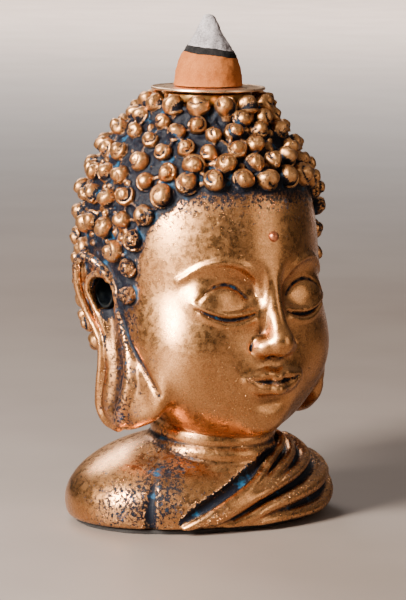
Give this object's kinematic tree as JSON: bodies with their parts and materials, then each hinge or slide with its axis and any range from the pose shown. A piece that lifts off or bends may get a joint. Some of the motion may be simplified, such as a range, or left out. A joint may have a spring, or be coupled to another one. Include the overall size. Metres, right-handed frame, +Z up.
{
  "type": "backflow incense burner statue",
  "caption": "Cast Buddha head and shoulders used as a backflow incense burner, with a lift-off drip plate on the crown, a cone of incense and smoke outlets in the ears.",
  "frame": {"origin": "centre of the bounding box at the surface that the statue stands on", "axes": "+Z up; the face looks along -Y, and the statue's left side is on +X"},
  "size_m": [0.066, 0.0675, 0.1148],
  "materials": {
    "rubbed_copper": "cast resin with metallic copper paint rubbed over a blue-black ground",
    "red_copper": "satin reddish copper",
    "brass_fitting": "turned, lightly tarnished",
    "copper_plate": "thin spun copper disc with a bright rim",
    "resin_filler": "unpainted cast filler",
    "felt": "short-pile felt",
    "incense": "pressed incense powder",
    "char": "charred incense",
    "ash": "loose grey ash"
  },
  "bodies": {
    "statue": {"felt_base_pad": "felt", "base_plug": "resin_filler", "bust_casting": "rubbed_copper", "head_casting": "rubbed_copper", "urna_bead": "red_copper", "ear_port_right": "brass_fitting", "ear_port_left": "brass_fitting", "smoke_tube": "brass_fitting", "crown_ferrule": "brass_fitting"},
    "plate": {"drip_plate": "copper_plate"},
    "cone": {"incense_cone": "incense", "cone_char_band": "char", "cone_ash_tip": "ash"}
  },
  "joints": [
    {"name": "plate_lift", "type": "slide", "parent": "statue", "child": "plate", "axis": [0, 0, 1], "range_m": [0, 0.02]},
    {"name": "cone_lift", "type": "slide", "parent": "plate", "child": "cone", "axis": [0, 0, 1], "range_m": [0, 0.03]}
  ]
}
